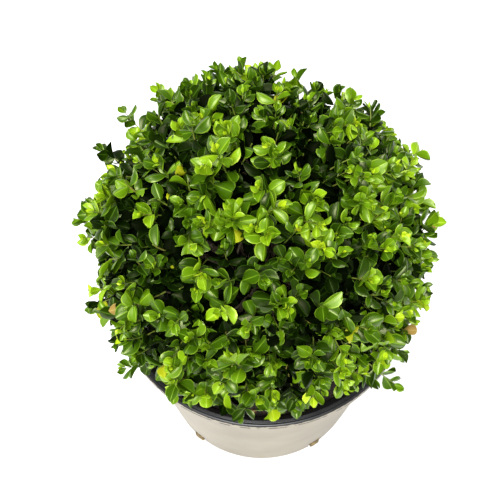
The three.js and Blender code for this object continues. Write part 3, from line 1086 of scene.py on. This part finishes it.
def bough_end(name, knuckle):
    """The far end of a CAD bough, and its way there."""
    points = node_points(name)
    away = np.linalg.norm(points - knuckle, axis=1)
    end = points[away > away.max() - 6 * MM].mean(0)
    middle = points[np.abs(away - 0.6 * away.max()) < 12 * MM].mean(0)
    return end, unit(end - middle)


def far_apart(points, count):
    """The numbers of points that lie far from each other, one by one."""
    chosen = [0]
    gap = np.linalg.norm(points - points[0], axis=1)
    while len(chosen) < count:
        chosen.append(int(gap.argmax()))
        gap = np.minimum(gap, np.linalg.norm(points - points[chosen[-1]], axis=1))
    return chosen


SHOOTS_ON_A_BRANCH = 9
FORK = 0.62  # a branch ends this far on the way from its bough to the middle of its shoots
CROOKED = 0.5 * MM  # how crooked branches and twigs are
INNER_LEAVES = 2  # on each twig
# Radii in mm at the base and at the end.
BRANCH_RADII, TWIG_RADII = (2.3, 1.3), (1.15, 0.8)
SHOOT_RADII, CLIPPED_RADII = (0.75, 0.35), (0.75, 0.6)


def grow_mass(rng, name, shoots, knuckle):
    """A mass: branches from its bough's end, twigs from the branches, and leafy shoots on them."""
    foliage = Foliage()
    grown = [grow_shoot(rng, shoot, foliage) for shoot in shoots]
    bases = np.array([line[0] for line, _ in grown])
    start, way = bough_end(name.replace("foliage", "bough"), knuckle)
    heads = far_apart(bases, max(2, len(bases) // SHOOTS_ON_A_BRANCH))
    nearest = np.argmin(np.linalg.norm(bases[:, None] - bases[heads][None], axis=2), axis=1)
    woody, green = [], []
    for group in range(len(heads)):
        members = np.flatnonzero(nearest == group)
        middle = bases[members].mean(0)
        fork = start + FORK * (middle - start)
        branch = bent(start - way * 4 * MM, start + way * 14 * MM, fork, 9)
        branch[1:-1] += rng.normal(0, CROOKED, branch[1:-1].shape)
        woody.append((branch, np.linspace(*BRANCH_RADII, len(branch)) * MM))
        for member in members:
            line, clipped = grown[member]
            root = branch[rng.integers(5, len(branch))]
            bend = root + 0.5 * (line[0] - root) + 0.12 * np.linalg.norm(line[0] - root) * UP
            twig = bent(root, bend, line[0], 7)
            twig[1:-1] += rng.normal(0, CROOKED, twig[1:-1].shape)
            woody.append((twig, np.linspace(*TWIG_RADII, len(twig)) * MM))
            radii = CLIPPED_RADII if clipped else SHOOT_RADII
            green.append((line, np.linspace(*radii, len(line)) * MM))
            grow_inner_leaves(rng, twig, foliage)
    leaves = foliage.joined(name.replace("foliage", "leaves"), LEAVES)
    place_piece(leaves, "foliage", name)
    twigs = limb_mesh(name.replace("foliage", "twigs"), woody, TWIG_BARK_AND_SHADE)
    place_piece(twigs, "bark")
    stems = limb_mesh(name.replace("foliage", "shoots"), green, GREEN_STEM)
    place_piece(stems, "foliage")


# ------------------------------------------------------------------ stage

FLOOR_RADIUS = 40  # metres, so that its edge lies at the horizon


def make_floor():
    """A plain pale floor, matt as painted board."""
    bm = bmesh.new()
    bmesh.ops.create_circle(bm, cap_ends=True, segments=96, radius=FLOOR_RADIUS)
    paint, _, _ = new_material("pale_floor", {"Base Color": "#dededf", "Roughness": 0.9})
    from_bmesh("floor", bm, paint, smooth=False)


def softbox(name, azimuth, elevation, strength, spread):
    """A far, wide softbox: it lights floor and plant evenly from one side. Angles in degrees."""
    data = bpy.data.lights.new(name, "SUN")
    data.energy = strength
    data.angle = math.radians(spread)
    obj = bpy.data.objects.new(name, data)
    bpy.context.scene.collection.objects.link(obj)
    obj.rotation_euler = Vector(direction_of(azimuth, elevation)).to_track_quat("Z", "Y").to_euler()


def make_lights():
    """A softbox over the viewer's head, one behind the plant, and white walls under a dim ceiling."""
    softbox("front_softbox", -100, 57, 5.8, 32)
    softbox("back_softbox", 135, 66, 2.3, 24)
    world = bpy.data.worlds.new("white_studio")
    world.use_nodes = True
    tree = world.node_tree
    way = add_node(tree, "ShaderNodeTexCoord").outputs["Generated"]
    height = add_node(tree, "ShaderNodeSeparateXYZ", {"Vector": way}).outputs["Z"]
    strength = add_node(
        tree,
        "ShaderNodeMapRange",
        {"Value": height, "From Min": 0.03, "From Max": 0.30, "To Min": 1.05, "To Max": 0.08},
        **SMOOTH,
    )
    set_inputs(tree, tree.nodes["Background"], {"Color": "#fbfbf8", "Strength": strength})
    bpy.context.scene.world = world
    bpy.context.scene.view_settings.view_transform = "Standard"


# Angles in degrees, lengths in metres, the lens in mm on a film 36 mm wide.
CAMERA = {"elevation": 60.8, "roll": -0.59, "distance": 0.829, "aim": (-0.0116, 0.0, 0.2802)}
LENS, FILM = 67.1, 36


def make_camera():
    """Looks steeply down at the front, as a standing person does from arm's length."""
    data = bpy.data.cameras.new("camera")
    data.sensor_width = FILM
    data.lens = LENS
    camera = bpy.data.objects.new("camera", data)
    bpy.context.scene.collection.objects.link(camera)
    e = math.radians(CAMERA["elevation"])
    ahead = Vector((0, math.cos(e), -math.sin(e)))
    camera.location = Vector(CAMERA["aim"]) - ahead * CAMERA["distance"]
    roll = Matrix.Rotation(math.radians(CAMERA["roll"]), 4, "Z")
    look = ahead.to_track_quat("-Z", "Y").to_matrix().to_4x4() @ roll
    camera.rotation_euler = look.to_euler()
    bpy.context.scene.camera = camera


# ------------------------------------------------------------------ the whole plant

rng = np.random.default_rng(11)
RIM_TOP, RIM_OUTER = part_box("pot_rim")[1].z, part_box("pot_rim")[1].x
RIM_INNER = min(r for r, _ in rings_of("pot_rim").values()) * MM
MASSES = sorted(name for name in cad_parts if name.startswith("foliage"))
BOUGHS = sorted(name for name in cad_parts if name.startswith("bough"))
BLACK_PLASTIC = moulded_black_plastic()
WHITE_PLASTIC = moulded_white_plastic(RIM_TOP - SKIN_DROP, RIM_OUTER)
LEAVES = leaf_materials()
STEM_BARK = box_bark("corky_box_bark", "#5d4f3a", "#a3957a", 3.0)
# The twigs' bark is darker than the stem's: partly their own colour, partly painted shade inside the
# crown.
TWIG_BARK_AND_SHADE = box_bark("thin_twig_bark_and_painted_shade", "#2e281b", "#5d543a", 2.0)
GREEN_STEM = green_stem()

make_pot()
make_root_plugs()
make_rim()
MIX_LEVEL = make_potting_mix(rng)

for limb in ["stem"] + BOUGHS:
    bark_over(limb, STEM_BARK)

stem_top = node_points("stem")
knuckle = stem_top[stem_top[:, 2] > stem_top[:, 2].max() - 10 * MM].mean(0)
crown_centre, crown_radius = crown_frame()
shoots = plan_shoots(rng, crown_centre, crown_radius)
for number, mass in enumerate(MASSES):
    grow_mass(rng, mass, [s for s in shoots if s["mass"] == number], knuckle)

make_floor()
make_lights()
make_camera()
